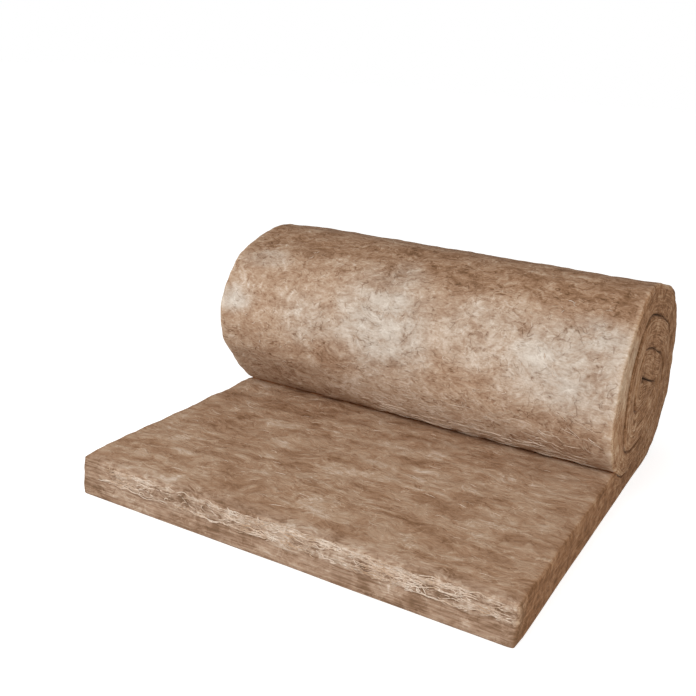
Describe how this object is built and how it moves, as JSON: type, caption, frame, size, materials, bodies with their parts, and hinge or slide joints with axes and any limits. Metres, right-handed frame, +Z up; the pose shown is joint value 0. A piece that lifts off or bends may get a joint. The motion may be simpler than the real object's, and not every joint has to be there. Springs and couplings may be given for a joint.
{
  "type": "insulation roll",
  "caption": "Unfaced mineral wool blanket, wound into a soft oval roll with its loose end laid flat in front.",
  "frame": {"origin": "middle of the footprint, on the floor that the blanket lies on", "axes": "+X along the roll's axis, across the blanket's width; +Y from the cut end of the flat run towards the back of the roll; +Z up"},
  "size_m": [1.14, 1.3237, 0.5758],
  "materials": {
    "mineral_wool": "matt brown mineral wool fibre, cloudy, with paler wisps"
  },
  "bodies": {
    "root": {"wool_blanket": "mineral_wool"}
  },
  "joints": []
}
